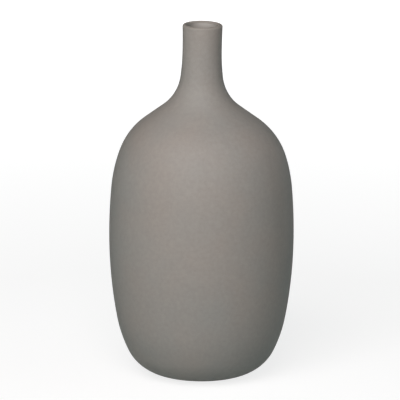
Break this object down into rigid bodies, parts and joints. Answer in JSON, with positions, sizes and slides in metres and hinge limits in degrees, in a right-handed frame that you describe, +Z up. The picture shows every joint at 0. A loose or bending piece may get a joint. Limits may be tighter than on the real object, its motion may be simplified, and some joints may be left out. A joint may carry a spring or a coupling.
{
  "type": "bottle vase",
  "caption": "Bottle vase in matt stoneware with an egg-shaped belly, a steep shoulder, a slender neck and a rounded lip, glazed inside.",
  "frame": {"origin": "centre of the base, on the surface that the vase stands on", "axes": "+Z up along the axis of the neck; the object is round, and +X and +Y lie between the foot pads"},
  "size_m": [0.1086, 0.1086, 0.21],
  "materials": {
    "stoneware": "bare",
    "matt_coat": "matt",
    "glaze": "satin",
    "pad": "soft"
  },
  "bodies": {
    "root": {"clay_body": "stoneware", "matt_coat": "matt_coat", "glaze_lining": "glaze", "foot_pad_1": "pad", "foot_pad_2": "pad", "foot_pad_3": "pad", "foot_pad_4": "pad"}
  },
  "joints": []
}
